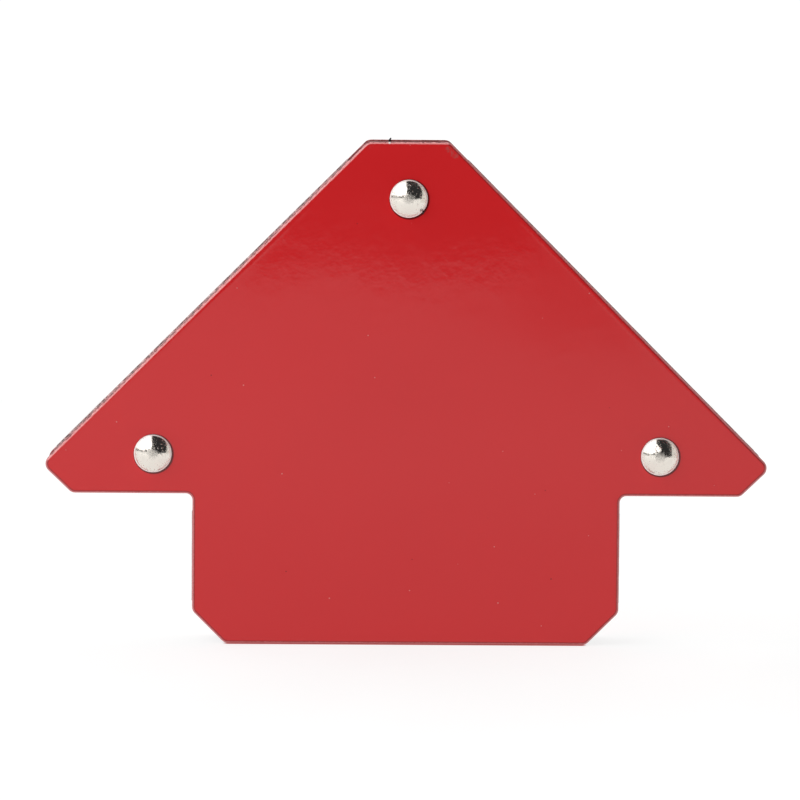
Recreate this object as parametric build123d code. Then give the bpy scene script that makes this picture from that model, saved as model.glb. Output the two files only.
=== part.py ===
from build123d import *

import os
from math import asin, cos, radians, sin

# Welding magnet holder, in millimetres: two arrow-shaped steel covers riveted over spacer tubes, with
# block magnets clamped between pairs of steel pole strips along the working edges.
# +X is right, -Y is the front, +Z is up. The holder stands on its foot strips at Z = 0, and the origin
# is under the middle of the stack of plates.

# Outline of the covers, heights from their bottom edge
COVER_HEIGHT = 82.6
TOP_HALF_WIDTH = 6.7
DIAGONAL_RUN = 53.15
TIP_CHAMFER_RUN = 4.95
TIP_CHAMFER_RISE = 4.75
STEM_HALF_WIDTH = 35.1
FOOT_CHAMFER = 5.35
CORNER_RADIUS = 1.5
NOTCH_RADIUS = 1.1
EDGE_ROLL = 0.3

# Stack, from the front face to the rear face
COVER_THICKNESS = 1.2
STRIP_THICKNESS = 1.8
MAGNET_THICKNESS = 6.0

# Pole strips and magnets
STRIP_DEPTH = 8.5
SIDE_STRIP_DEPTH = 6.0
DIAGONAL_STRIP_LENGTH = 68.0
DIAGONAL_STRIP_START = 4.5
FOOT_STRIP_LENGTH = 56.0
SIDE_STRIP_LENGTH = 15.0
SIDE_STRIP_CENTRE = 14.3
STRIP_EDGE_BREAK = 0.2
STRIP_PROUD = 0.12  # how far the strips' outer edges stand out of the covers
MAGNET_RECESS = 0.7
MAGNET_GAP = 0.2

# Rivets and spacers
TOP_RIVET_DROP = 9.25
SIDE_RIVET_DROP = 51.3
SIDE_RIVET_OFFSET = 41.6
COVER_HOLE_RADIUS = 1.6
SHANK_RADIUS = 1.5
DOME_RADIUS = 3.1
DOME_HEIGHT = 1.9
DOME_RIM = 0.25
ROLL_RADIUS = 2.7
ROLL_HEIGHT = 0.85
ROLL_INNER_RADIUS = 1.0
TAIL_BORE_DEPTH = 4.5
SPACER_RADIUS = 3.0
SPACER_BORE_RADIUS = 1.65

# Sizes that follow
TIP_Z = COVER_HEIGHT - DIAGONAL_RUN
SHOULDER_Z = TIP_Z - TIP_CHAMFER_RISE
TIP_HALF_WIDTH = TOP_HALF_WIDTH + DIAGONAL_RUN
INNER_HALF = MAGNET_THICKNESS / 2 + STRIP_THICKNESS
OUTER_HALF = INNER_HALF + COVER_THICKNESS
STRIP_MIDDLE = (MAGNET_THICKNESS + STRIP_THICKNESS) / 2
DIAGONAL_MIDDLE = DIAGONAL_STRIP_START + DIAGONAL_STRIP_LENGTH / 2
DIAGONAL_X = TOP_HALF_WIDTH + DIAGONAL_MIDDLE * cos(radians(45))
DIAGONAL_Z = COVER_HEIGHT - DIAGONAL_MIDDLE * sin(radians(45))

RIVET_PLACES = {
    "top": (0, COVER_HEIGHT - TOP_RIVET_DROP),
    "left": (-SIDE_RIVET_OFFSET, COVER_HEIGHT - SIDE_RIVET_DROP),
    "right": (SIDE_RIVET_OFFSET, COVER_HEIGHT - SIDE_RIVET_DROP),
}

# Each working edge: the way it faces in degrees (0 is +X, 90 is +Z), the middle of its strips on the
# cover's edge, their length and depth, and what its magnets are called
DIAGONAL_MAGNETS = ["upper", "middle", "lower"]
WORKING_EDGES = {
    "left": (135, -DIAGONAL_X, DIAGONAL_Z, DIAGONAL_STRIP_LENGTH, STRIP_DEPTH, DIAGONAL_MAGNETS),
    "right": (45, DIAGONAL_X, DIAGONAL_Z, DIAGONAL_STRIP_LENGTH, STRIP_DEPTH, DIAGONAL_MAGNETS),
    "foot": (270, 0, 0, FOOT_STRIP_LENGTH, STRIP_DEPTH, ["left", "right"]),
    "side_left": (180, -STEM_HALF_WIDTH, SIDE_STRIP_CENTRE, SIDE_STRIP_LENGTH, SIDE_STRIP_DEPTH, [""]),
    "side_right": (0, STEM_HALF_WIDTH, SIDE_STRIP_CENTRE, SIDE_STRIP_LENGTH, SIDE_STRIP_DEPTH, [""]),
}


def save(shape, node):
    """Lifts a finished piece so that the foot strips meet Z = 0, and writes it."""
    shape = shape.moved(Location((0, 0, STRIP_PROUD)))
    shape.label = node
    export_step(shape, f"parts/{node}.step")


def outline():
    """The arrow shape with its corners rounded, drawn in X and Z."""
    half = [
        (TOP_HALF_WIDTH, COVER_HEIGHT),
        (TIP_HALF_WIDTH, TIP_Z),
        (TIP_HALF_WIDTH - TIP_CHAMFER_RUN, SHOULDER_Z),
        (STEM_HALF_WIDTH, SHOULDER_Z),
        (STEM_HALF_WIDTH, FOOT_CHAMFER),
        (STEM_HALF_WIDTH - FOOT_CHAMFER, 0),
    ]
    mirrored = [(-x, z) for x, z in reversed(half)]
    shape = Sketch() + make_face(Polyline(*half, *mirrored, close=True))
    notch = [v for v in shape.vertices()
             if abs(abs(v.X) - STEM_HALF_WIDTH) < 0.01 and abs(v.Y - SHOULDER_Z) < 0.01]
    shape = fillet(notch, NOTCH_RADIUS)
    corners = [v for v in shape.vertices()
               if any(abs(abs(v.X) - x) < 0.01 and abs(v.Y - z) < 0.01 for x, z in half)]
    return fillet(corners, CORNER_RADIUS)


def cover(front):
    """One cover plate, its outer rim rolled over by the punch and its holes drilled through."""
    plate = extrude(outline(), COVER_THICKNESS)
    outer_rim = plate.faces().sort_by(Axis.Z)[-1].outer_wire().edges()
    plate = fillet(outer_rim, EDGE_ROLL)
    for x, z in RIVET_PLACES.values():
        plate -= Pos(x, z, COVER_THICKNESS / 2) * Cylinder(COVER_HOLE_RADIUS, 2 * COVER_THICKNESS)
    if front:
        return Plane(origin=(0, -INNER_HALF, 0), x_dir=(1, 0, 0), z_dir=(0, -1, 0)) * plate
    return Plane(origin=(0, INNER_HALF, 0), x_dir=(-1, 0, 0), z_dir=(0, 1, 0)) * plate


def turned(profile, x, z):
    """A solid of revolution about a rivet's axis, from a closed outline of radius and depth (Y)."""
    return Pos(x, 0, z) * revolve(make_face(profile), Axis.Y)


def rivet(x, z):
    """A semi-tubular rivet: domed head in front, shank, and a tail rolled over on the rear cover."""
    head_y = -OUTER_HALF
    tail_y = OUTER_HALF
    bore_end = tail_y - TAIL_BORE_DEPTH
    rise = DOME_HEIGHT - DOME_RIM
    crown = head_y - DOME_HEIGHT
    crown_radius = (DOME_RADIUS**2 + rise**2) / (2 * rise)
    half_way = asin(DOME_RADIUS / crown_radius) / 2
    dome_middle = (crown_radius * sin(half_way), crown + crown_radius * (1 - cos(half_way)))
    roll_middle = ((ROLL_RADIUS + ROLL_INNER_RADIUS) / 2, tail_y + ROLL_HEIGHT)
    profile = [
        ThreePointArc((0, crown), dome_middle, (DOME_RADIUS, crown + rise)),
        Polyline((DOME_RADIUS, crown + rise), (DOME_RADIUS, head_y), (SHANK_RADIUS, head_y),
                 (SHANK_RADIUS, tail_y), (ROLL_RADIUS, tail_y)),
        ThreePointArc((ROLL_RADIUS, tail_y), roll_middle, (ROLL_INNER_RADIUS, tail_y)),
        Polyline((ROLL_INNER_RADIUS, tail_y), (ROLL_INNER_RADIUS, bore_end), (0, bore_end), (0, crown)),
    ]
    return turned(profile, x, z)


def spacer(x, z):
    """A tube round the rivet's shank that holds the covers apart."""
    wall = [
        (SPACER_BORE_RADIUS, -INNER_HALF),
        (SPACER_RADIUS, -INNER_HALF),
        (SPACER_RADIUS, INNER_HALF),
        (SPACER_BORE_RADIUS, INNER_HALF),
    ]
    return turned(Polyline(*wall, close=True), x, z)


def edge_frame(angle, x, z):
    """A plane on a working edge: its X runs along the edge, its Y to the rear and its Z outward."""
    return Plane(origin=(x, 0, z), x_dir=(sin(radians(angle)), 0, -cos(radians(angle))),
                 z_dir=(cos(radians(angle)), 0, sin(radians(angle))))


def strip(frame, length, depth, side):
    """One pole strip, with its two long outer edges broken; side is -1 for front and 1 for rear."""
    bar = Box(length, STRIP_THICKNESS, depth, align=(Align.CENTER, Align.CENTER, Align.MAX))
    long_edges = bar.faces().sort_by(Axis.Z)[-1].edges().filter_by(Axis.X)
    bar = chamfer(long_edges, STRIP_EDGE_BREAK)
    return frame * Pos(0, side * STRIP_MIDDLE, STRIP_PROUD) * bar


def magnet(frame, along, length, depth):
    """One block magnet, between the front and rear strips and a little shy of their outer edges."""
    block = Box(length, MAGNET_THICKNESS, depth - MAGNET_RECESS,
                align=(Align.CENTER, Align.CENTER, Align.MAX))
    return frame * Pos(along, 0, STRIP_PROUD - MAGNET_RECESS) * block


def working_edge(name, angle, x, z, length, depth, magnet_names):
    """The strips and magnets of one edge, the magnets named from the top down or the left across."""
    frame = edge_frame(angle, x, z)
    save(strip(frame, length, depth, -1), f"pole_strip_{name}_front")
    save(strip(frame, length, depth, 1), f"pole_strip_{name}_rear")
    count = len(magnet_names)
    pitch = (length + MAGNET_GAP) / count
    first_to_last = -1 if angle in (135, 270) else 1
    for i, magnet_name in enumerate(magnet_names):
        along = first_to_last * (i - (count - 1) / 2) * pitch
        node = f"magnet_{name}_{magnet_name}".rstrip("_")
        save(magnet(frame, along, pitch - MAGNET_GAP, depth), node)


os.makedirs("parts", exist_ok=True)
save(cover(front=True), "front_cover")
save(cover(front=False), "rear_cover")
for place, (rivet_x, rivet_z) in RIVET_PLACES.items():
    save(rivet(rivet_x, rivet_z), f"rivet_{place}")
    save(spacer(rivet_x, rivet_z), f"spacer_{place}")
for edge, facts in WORKING_EDGES.items():
    working_edge(edge, *facts)
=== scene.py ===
"""Welding magnet holder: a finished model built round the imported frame.

Laid out as an add-on and run as a script. Lengths are in metres, apart from the marks that a mesh
carries at its points, where a name ends in _mm.
"""

import math
import random

import bpy
from bpy.props import FloatProperty, FloatVectorProperty, IntProperty, PointerProperty
from mathutils import Matrix, Vector, noise
from mathutils.geometry import delaunay_2d_cdt
from mathutils.kdtree import KDTree


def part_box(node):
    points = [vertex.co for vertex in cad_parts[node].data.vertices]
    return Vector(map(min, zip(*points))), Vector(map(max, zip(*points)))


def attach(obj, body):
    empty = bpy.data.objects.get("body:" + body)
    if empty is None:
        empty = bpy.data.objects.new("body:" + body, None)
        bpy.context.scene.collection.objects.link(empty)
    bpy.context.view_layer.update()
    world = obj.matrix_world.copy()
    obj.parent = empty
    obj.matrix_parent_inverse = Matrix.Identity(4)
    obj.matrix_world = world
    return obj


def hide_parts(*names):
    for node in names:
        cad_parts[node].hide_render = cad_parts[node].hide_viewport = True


bl_info = {
    "name": "Magnet Holder Finisher",
    "version": (1, 0, 0),
    "blender": (4, 5, 0),
    "location": "3D View > Sidebar > Magnet Holder",
    "description": "Builds the painted covers, rivets, pole strips and magnets of a welding magnet holder",
    "category": "Add Mesh",
}

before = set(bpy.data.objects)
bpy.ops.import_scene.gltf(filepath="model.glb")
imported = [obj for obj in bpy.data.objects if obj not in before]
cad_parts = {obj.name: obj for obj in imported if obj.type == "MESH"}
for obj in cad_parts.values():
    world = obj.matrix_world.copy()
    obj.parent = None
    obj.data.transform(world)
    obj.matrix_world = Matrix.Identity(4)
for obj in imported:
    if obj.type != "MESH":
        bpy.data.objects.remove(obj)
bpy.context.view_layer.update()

MM = 0.001
BODY = "root"
FRONT, REAR = -1, 1
RIVETS = ("top", "left", "right")
# The way each working edge faces, in degrees: 0 is +X and 90 is +Z
EDGE_ANGLES = {"left": 135, "right": 45, "foot": 270, "side_left": 180, "side_right": 0}
MAGNETS = {
    "left": ("left_upper", "left_middle", "left_lower"),
    "right": ("right_upper", "right_middle", "right_lower"),
    "foot": ("foot_left", "foot_right"),
    "side_left": ("side_left",),
    "side_right": ("side_right",),
}


# ---------------------------------------------------------------- shader expressions


class Wire:
    """A socket that takes Python arithmetic: each step adds a Math node to the same tree."""

    def __init__(self, tree, socket):
        self.tree = tree
        self.socket = socket

    def math(self, operation, *values):
        return self.tree.node("ShaderNodeMath", {"operation": operation}, dict(enumerate(values)))

    def __add__(self, other):
        return self.math("ADD", self, other)

    def __sub__(self, other):
        return self.math("SUBTRACT", self, other)

    def __rsub__(self, other):
        return self.math("SUBTRACT", other, self)

    def __mul__(self, other):
        return self.math("MULTIPLY", self, other)

    def __truediv__(self, other):
        return self.math("DIVIDE", self, other)

    def __lt__(self, other):
        return self.math("LESS_THAN", self, other)

    def __abs__(self):
        return self.math("ABSOLUTE", self)

    __radd__ = __add__
    __rmul__ = __mul__

    def output(self, name):
        """Another output of the node that this socket is on."""
        return Wire(self.tree, self.socket.node.outputs[name])

    def ease(self, start, end):
        """0 at start and 1 at end, with a smooth step between; start may be above end."""
        return self.tree.node(
            "ShaderNodeMapRange",
            {"interpolation_type": "SMOOTHSTEP"},
            {"Value": self, "From Min": start, "From Max": end},
        )


class Tree:
    """The node tree of a material or a world."""

    def __init__(self, owner):
        owner.use_nodes = True
        self.owner = owner
        self.nodes = owner.node_tree.nodes
        self.links = owner.node_tree.links
        self.nodes.clear()

    def node(self, kind, settings=None, sockets=None, output=0):
        """Adds a node: its settings first, then a value or a wire for each named socket."""
        made = self.nodes.new(kind)
        for name, value in (settings or {}).items():
            setattr(made, name, value)
        for name, value in (sockets or {}).items():
            if isinstance(value, Wire):
                self.links.new(value.socket, made.inputs[name])
            else:
                made.inputs[name].default_value = value
        return Wire(self, made.outputs[output] if len(made.outputs) else None)

    def blend(self, mask, first, second):
        """A colour: first where the mask is 0 and second where it is 1."""
        factor, a, b, result = 0, 6, 7, 2
        sockets = {factor: mask, a: first, b: second}
        return self.node("ShaderNodeMix", {"data_type": "RGBA"}, sockets, result)

    def place(self):
        """Where a point lies in the frame, in metres."""
        return self.node("ShaderNodeTexCoord", output="Object")

    def parts(self, vector):
        """The X, Y and Z of a place or a direction."""
        split = self.node("ShaderNodeSeparateXYZ", {}, {"Vector": vector})
        return [split.output(axis) for axis in "XYZ"]

    def attribute(self, name):
        """A number that the mesh carries at each point."""
        return self.node("ShaderNodeAttribute", {"attribute_name": name}, output="Fac")

    def stretched(self, place, x, y, z):
        """A place with each of its parts multiplied, so that a pattern on it is drawn out or flat."""
        return self.node("ShaderNodeVectorMath", {"operation": "MULTIPLY"}, {0: place, 1: (x, y, z)})

    def clouds(self, place, size, detail=2.0, roughness=0.5):
        """Soft noise from 0 to 1 whose blots are about size across."""
        sockets = {"Vector": place, "Scale": 1 / size, "Detail": detail, "Roughness": roughness}
        return self.node("ShaderNodeTexNoise", {}, sockets)

    def specks(self, place, spacing, radius, kept):
        """Round specks of up to that radius, one to a cell of that spacing, in a kept share of cells."""
        face_on = self.node("ShaderNodeMapping", {}, {"Vector": place, "Rotation": (math.pi / 2, 0, 0)})
        settings = {"voronoi_dimensions": "2D"}
        cells = self.node("ShaderNodeTexVoronoi", settings, {"Vector": face_on, "Scale": 1 / spacing})
        chance = self.node("ShaderNodeSeparateColor", {}, {"Color": cells.output("Color")})
        reach = (chance.output("Green") * 0.7 + 0.3) * (radius / spacing)
        return (cells / reach).ease(1.0, 0.4) * (chance < kept)

    def distance(self, place, point):
        """How far a place is from a fixed point."""
        sockets = {0: place, 1: point}
        return self.node("ShaderNodeVectorMath", {"operation": "DISTANCE"}, sockets, "Value")

    def relief(self, height, depth, normal=None):
        """A bump of that depth in metres, laid over another one if that is given."""
        sockets = {"Height": height, "Distance": depth}
        if normal:
            sockets["Normal"] = normal
        return self.node("ShaderNodeBump", {}, sockets)


class Finish(Tree):
    """A material: one Principled shader and what feeds it."""

    def __init__(self, name, sockets):
        super().__init__(bpy.data.materials.new(name))
        self.shader = self.node("ShaderNodeBsdfPrincipled", {}, sockets)
        self.node("ShaderNodeOutputMaterial", {}, {"Surface": self.shader})

    def feed(self, **wires):
        """Joins wires to the shader's sockets, whose names are given with _ for a space."""
        for name, wire in wires.items():
            self.links.new(wire.socket, self.shader.socket.node.inputs[name.replace("_", " ").title()])
        return self.owner


def solid(values, share=1.0):
    """A property's colour as a socket takes it, darker by a share if one is given."""
    return (*(share * value for value in values[:3]), 1.0)


def finish(name, make):
    """The material of that name, made the first time that it is asked for."""
    return bpy.data.materials.get(name) or make(name)


def together(masks):
    """Masks added up and kept from 0 to 1."""
    total = masks[0]
    for mask in masks[1:]:
        total = total + mask
    return total.ease(0.0, 1.0)


# ---------------------------------------------------------------- finishes


def red_enamel(name):
    """Glossy baked enamel over steel sheet with nibs, pits and scuffs, and painted light and shade: painted
    shade at the cut edge, on the inner faces and round the rivets, painted highlights on the rims, and a
    painted glint by the chip.

    The cut edge's bands are set by the distance in from the outline, in millimetres.
    """
    look = bpy.context.scene.magnet_holder.paint
    tree = Finish(name, {"IOR": look.gloss_index})
    place = tree.place()
    rim = tree.attribute("rim_mm")
    upper = tree.attribute("upper_edge")
    hidden = tree.attribute("hidden")
    film = tree.clouds(place, 30 * MM, 3.0)
    nibs = tree.specks(place, 7 * MM, 0.17 * MM, 0.30)
    pits = tree.specks(place, 11 * MM, 0.15 * MM, 0.25)
    ragged = tree.clouds(place, 0.45 * MM, 4.0, 0.7)
    coarse = tree.clouds(place, 0.8 * MM, 4.0, 0.7)
    # Painted shade: a dark band just inside the cut edges that do not face up, standing for their shade and
    # dark reflection
    edge_shade = rim.ease(0.55, 0.36) * (1 - upper)
    # Painted highlight: a pale pink line on the outermost rim of the edges that do not face up
    edge_highlight = (rim + ragged * 0.2).ease(0.46, 0.26) * (1 - upper)
    toothed = rim - coarse * 0.5
    # Painted highlight with chalky wear: a pale, jagged band along the top and left diagonal edges, which
    # face the light
    chafed_and_highlit = (rim + ragged * 0.3).ease(0.54, 0.42) * toothed.ease(-0.26, -0.12) * upper
    chafed_and_highlit = chafed_and_highlit * (ragged.ease(0.34, 0.54) * 0.4 + 0.6)
    nick_glint = nick_glint_on_top(tree, place)
    # Painted highlight, patchy, on the rim of the inner side of the upper edges, seen at the rear cover's
    # top
    inner_rim_highlight = rim.ease(0.2, 0.1) * hidden * upper * coarse.ease(0.42, 0.56)
    scuffed = ragged.ease(0.42, 0.60) * corner_scuffs(tree, place)
    ring = rivet_shadow_rings(tree, place)
    paint = tree.blend(film, solid(look.colour, 0.96), solid(look.colour, 1.04))
    paint = tree.blend(scuffed * 0.6, paint, solid(look.scuff_colour))
    paint = tree.blend(nibs * 0.55, paint, solid(look.dust_colour))
    paint = tree.blend(pits * 0.8, paint, solid(look.colour, 0.25))
    # Painted shade inside the lower, side and right diagonal edges
    paint = tree.blend(edge_shade * 0.6, paint, solid(look.shade_colour))
    # Painted highlight on the outermost rim
    paint = tree.blend(edge_highlight * 0.9, paint, solid(look.edge_highlight_colour))
    # Painted shade: dark teeth at the outermost rim of the upper edges
    paint = tree.blend(upper * toothed.ease(-0.13, -0.20) * 0.9, paint, solid(look.shade_colour))
    # Painted highlight with wear on the upper edges
    paint = tree.blend(chafed_and_highlit * 0.9, paint, solid(look.chafed_and_highlit_colour))
    # Painted glint where the top edge is nicked
    paint = tree.blend(nick_glint, paint, solid(look.nick_glint_colour))
    # Painted shadow round the rivets
    paint = tree.blend(ring * 0.85, paint, solid(look.shade_colour, 0.5))
    # Painted shade on the inner faces and inner side walls, between the covers
    paint = tree.blend(hidden * 0.9, paint, solid(look.shade_colour, 1.6))
    # Painted highlight on the inner side of the upper rims
    paint = tree.blend(inner_rim_highlight * 0.8, paint, solid(look.edge_highlight_colour))
    haze = tree.clouds(place, 9 * MM, 4.0, 0.6)
    gloss = haze * 0.03 + look.roughness + scuffed * 0.08 + nibs * 0.3 + chafed_and_highlit * 0.15 + hidden * 0.4
    peel = tree.clouds(place, 2.0 * MM, 2.0)
    lumps = tree.clouds(place, 1.7 * MM, 3.0, 0.6) * tree.clouds(place, 11 * MM, 2.0).ease(0.42, 0.62)
    skin = tree.relief(peel, look.peel_depth)
    skin = tree.relief(lumps, look.lump_depth, skin)
    skin = tree.relief(nibs - pits, 0.03 * MM, skin)
    skin = tree.relief(ragged * chafed_and_highlit, 0.03 * MM, skin)
    return tree.feed(base_color=paint, roughness=gloss, normal=skin)


def nick_glint_on_top(tree, place):
    """A mask of one painted glint, where the front cover's top edge is nicked, by the chip that made it."""
    low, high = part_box("front_cover")
    return tree.distance(place, (-3.2 * MM, low.y, high.z - 0.12 * MM)).ease(0.26 * MM, 0.14 * MM)


def corner_scuffs(tree, place):
    """A mask of dull scuffs by the two top corners of the front cover."""
    half = bpy.context.scene.magnet_holder.covers.top_half_width
    low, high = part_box("front_cover")
    scuffs = []
    # How far across in half widths of the flat, how far down and how wide in millimetres
    for across, down, size in ((-0.93, 0.45, 0.9), (0.97, 1.1, 0.8), (1.05, 1.6, 0.9), (1.13, 2.1, 0.8)):
        point = (across * half, low.y, high.z - down * MM)
        scuffs.append(tree.distance(place, point).ease(size * MM, 0.35 * size * MM))
    return together(scuffs)


def rivet_shadow_rings(tree, place):
    """A mask of painted shadow: a dark ring round each rivet's head, mostly at the lower right, and round
    each tail.
    """
    tail = bpy.context.scene.magnet_holder.rivets.roll_radius
    off_centre = 0.12 * MM
    flat = tree.stretched(place, 1.0, 0.0, 1.0)
    depth = tree.parts(place)[1]
    rings = []
    for name, at in zip(RIVETS, rivet_places()):
        low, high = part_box(f"rivet_{name}")
        head = (high.x - low.x) / 2
        near = tree.distance(flat, (at.x + off_centre, 0.0, at.y - off_centre))
        ring = near.ease(head + 0.30 * MM, head + 0.08 * MM) * (depth < 0.0)
        rings.append(ring + near.ease(tail + 0.25 * MM, tail + 0.05 * MM))
    return together(rings)


def slipped_punch(tree, place):
    """A mask of the scar on the right rivet's head where the punch slipped, and its height in mm."""
    at = rivet_places()[RIVETS.index("right")]
    slope = 0.2
    across, depth, _ = tree.parts(place)
    flat = tree.stretched(place, 1.0, 0.0, 1.0)
    near = tree.distance(flat, (at.x - 0.35 * MM, 0.0, at.y + 1.35 * MM))
    torn = near + tree.clouds(place, 0.4 * MM, 3.0, 0.7) * (0.6 * MM)
    scar = torn.ease(0.85 * MM, 0.70 * MM) * (depth < 0.0)
    return scar, (across - at.x) * (slope / MM)


def bright_nickel(name):
    """Polished nickel plate with fine pitting, a painted highlight round the head's rim, and a coarse spot
    where the setting punch pressed.
    """
    look = bpy.context.scene.magnet_holder.rivets
    tree = Finish(name, {"Metallic": 1.0})
    place = tree.place()
    across = tree.attribute("across_mm")
    worn = tree.clouds(place, 0.5 * MM, 3.0, 0.6)
    struck = (across + worn * 0.8 - 0.4).ease(look.punch_mark / MM, 0.8 * look.punch_mark / MM)
    dots = tree.specks(place, 0.6 * MM, 0.1 * MM, 0.5)
    grain = tree.clouds(place, 0.12 * MM, 3.0, 0.6)
    pitting = tree.clouds(place, 0.15 * MM, 2.0, 0.5).ease(0.57, 0.70)
    stains = tree.clouds(place, 1.3 * MM, 3.0, 0.6).ease(0.45, 0.75)
    plate = tree.blend(stains * 0.25, solid(look.colour), solid(look.colour, 0.8))
    plate = tree.blend(pitting * 0.15, plate, solid(look.colour, 0.5))
    plate = tree.blend(struck * grain.ease(0.45, 0.65) * 0.55, plate, solid(look.colour, 0.5))
    # Painted highlight: a near-white, mostly non-metallic band round the rim of the head
    highlight_start, highlight_full, past_head = 2.84, 2.98, 3.5
    lip = across.ease(highlight_start, highlight_full) * across.ease(past_head + 0.5, past_head)
    plate = tree.blend(lip * 0.85, plate, solid(look.head_rim_highlight_colour))
    gloss = stains * 0.04 + look.roughness + struck * 0.2 + pitting * 0.15 + lip * 0.3
    metal = 1 - lip * 0.85
    skin = tree.relief(worn, look.ripple_depth)
    skin = tree.relief(pitting * -1.0, 0.006 * MM, skin)
    skin = tree.relief(dots, 0.03 * MM, skin)
    skin = tree.relief(grain * struck, 0.03 * MM, skin)
    scar, ramp = slipped_punch(tree, place)
    skin = tree.relief(scar * (ramp + worn * 0.15), MM, skin)
    return tree.feed(base_color=plate, roughness=gloss, metallic=metal, normal=skin)


def zinc_plate(name):
    """Turned tube with dull zinc plating and faint tool rings."""
    look = bpy.context.scene.magnet_holder.spacers
    tree = Finish(name, {"Metallic": 1.0})
    place = tree.place()
    rings = tree.clouds(tree.stretched(place, 0.1, 1.0, 0.1), 0.09 * MM, 2.0)
    bloom = tree.clouds(place, 1.1 * MM, 4.0, 0.6)
    plate = tree.blend(bloom.ease(0.35, 0.7), solid(look.colour), solid(look.colour, 0.7))
    gloss = bloom * 0.2 + look.roughness
    skin = tree.relief(rings, 0.006 * MM)
    return tree.feed(base_color=plate, roughness=gloss, normal=skin)


def sheared_steel(name):
    """Bare mild steel bar: scratches across the ground edge, dark scale, red overspray, and painted shade
    below the outer edge and on the foot and side strips.
    """
    look = bpy.context.scene.magnet_holder.strips
    tree = Finish(name, {"Metallic": 0.9})
    place = tree.place()
    below = tree.attribute("below_mm")
    skin_side = tree.attribute("from_cover_mm")
    lower = tree.attribute("lower_edge")
    scratches = tree.clouds(tree.stretched(place, 1.0, 0.06, 1.0), 0.14 * MM, 3.0, 0.6)
    scale = tree.clouds(place, 0.8 * MM, 5.0, 0.7).ease(0.42, 0.62)
    grime = tree.clouds(place, 3.5 * MM, 4.0, 0.6).ease(0.4, 0.7)
    mist = (tree.clouds(place, 0.35 * MM, 4.0, 0.7) + skin_side.ease(2.2, 0.0) * 0.3).ease(0.5, 0.66)
    steel = tree.blend(scratches.ease(0.3, 0.7), solid(look.colour, 0.75), solid(look.colour, 1.2))
    steel = tree.blend(scale * 0.75, steel, solid(look.scale_and_shade_colour))
    steel = tree.blend(grime * 0.4, steel, solid(look.scale_and_shade_colour, 0.6))
    steel = tree.blend(mist * 0.9, steel, solid(look.overspray_and_shade_colour))
    # Painted shade: darker down the strips' walls below the outer edge, into the shade over the magnets
    steel = tree.blend(below.ease(0.12, 0.3) * 0.85, steel, solid(look.scale_and_shade_colour, 0.3))
    teeth = tree.clouds(place, 0.55 * MM, 3.0, 0.6).ease(0.49, 0.56)
    steel = tree.blend(teeth * 0.8, steel, solid(look.scale_and_shade_colour, 0.5))
    # Painted shade: the foot and side strips darker and less metallic
    steel = tree.blend(lower * 0.85, steel, solid(look.overspray_and_shade_colour, 0.35))
    ground = tree.blend(scratches.ease(0.3, 0.7), solid(look.ground_colour, 0.7), solid(look.ground_colour))
    ground = tree.blend(scale * 0.6, ground, solid(look.scale_and_shade_colour))
    middle = skin_side.ease(0.1, 0.35) * skin_side.ease(1.7, 1.45) * (1 - mist * 0.6)
    steel = tree.blend(middle * 0.85, steel, ground)
    metal = 0.9 - scale * 0.35 - mist * 0.5 - lower * 0.4
    gloss = scale * 0.25 + look.roughness + grime * 0.1
    skin = tree.relief(scratches, 0.012 * MM)
    skin = tree.relief(scale + mist, 0.012 * MM, skin)
    return tree.feed(base_color=steel, roughness=gloss, metallic=metal, normal=skin)


def black_ferrite(name):
    """Sintered ferrite: near black, granular, with grey grinding marks and bright broken edges."""
    look = bpy.context.scene.magnet_holder.magnets
    tree = Finish(name, {"IOR": 1.55})
    place = tree.place()
    broken = tree.attribute("broken")
    grain = tree.clouds(place, 0.12 * MM, 4.0, 0.7)
    ground = tree.clouds(tree.stretched(place, 1.0, 0.05, 1.0), 0.2 * MM, 2.0)
    dust = tree.clouds(place, 1.2 * MM, 5.0, 0.7).ease(0.52, 0.75)
    block = tree.blend(grain.ease(0.3, 0.7), solid(look.colour, 0.7), solid(look.colour, 1.4))
    block = tree.blend(ground.ease(0.55, 0.75) * 0.4, block, solid(look.colour, 2.2))
    block = tree.blend(broken * 0.6, block, solid(look.colour, 2.8))
    block = tree.blend(dust * 0.35, block, solid(look.dust_colour))
    gloss = grain * 0.2 + look.roughness + dust * 0.1 - broken * 0.1
    skin = tree.relief(ground, 0.01 * MM)
    skin = tree.relief(grain, 0.02 * MM, skin)
    return tree.feed(base_color=block, roughness=gloss, normal=skin)


def iron_chip(name):
    """Dark blued swarf."""
    tree = Finish(name, {"Metallic": 0.6})
    place = tree.place()
    heat = tree.clouds(place, 0.2 * MM, 3.0, 0.6)
    iron = tree.blend(heat.ease(0.4, 0.65), solid((0.012, 0.011, 0.012)), solid((0.06, 0.05, 0.045)))
    gloss = heat * 0.2 + 0.4
    return tree.feed(base_color=iron, roughness=gloss)


# ---------------------------------------------------------------- mesh helpers


def add_piece(name, points, faces, material, nodes, marks=None):
    """Links a smooth-shaded mesh that stands for those CAD nodes, with its point attributes."""
    mesh = bpy.data.meshes.new(name)
    mesh.from_pydata(points, [], faces)
    mesh.validate()
    for face in mesh.polygons:
        face.use_smooth = True
    for mark, values in (marks or {}).items():
        mesh.attributes.new(mark, "FLOAT", "POINT").data.foreach_set("value", values)
    mesh.materials.append(material)
    piece = bpy.data.objects.new(name, mesh)
    bpy.context.scene.collection.objects.link(piece)
    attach(piece, BODY)
    if nodes:
        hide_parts(*nodes)
    return piece


def wave(x, z, size, seed):
    """Smooth noise over the face of the holder, from about -1 to 1."""
    return noise.noise(Vector((x / size, seed, z / size)))


def bell(distance, width):
    """1 at no distance, falling to about a third at one width."""
    return math.exp(-((distance / width) ** 2))


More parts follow.
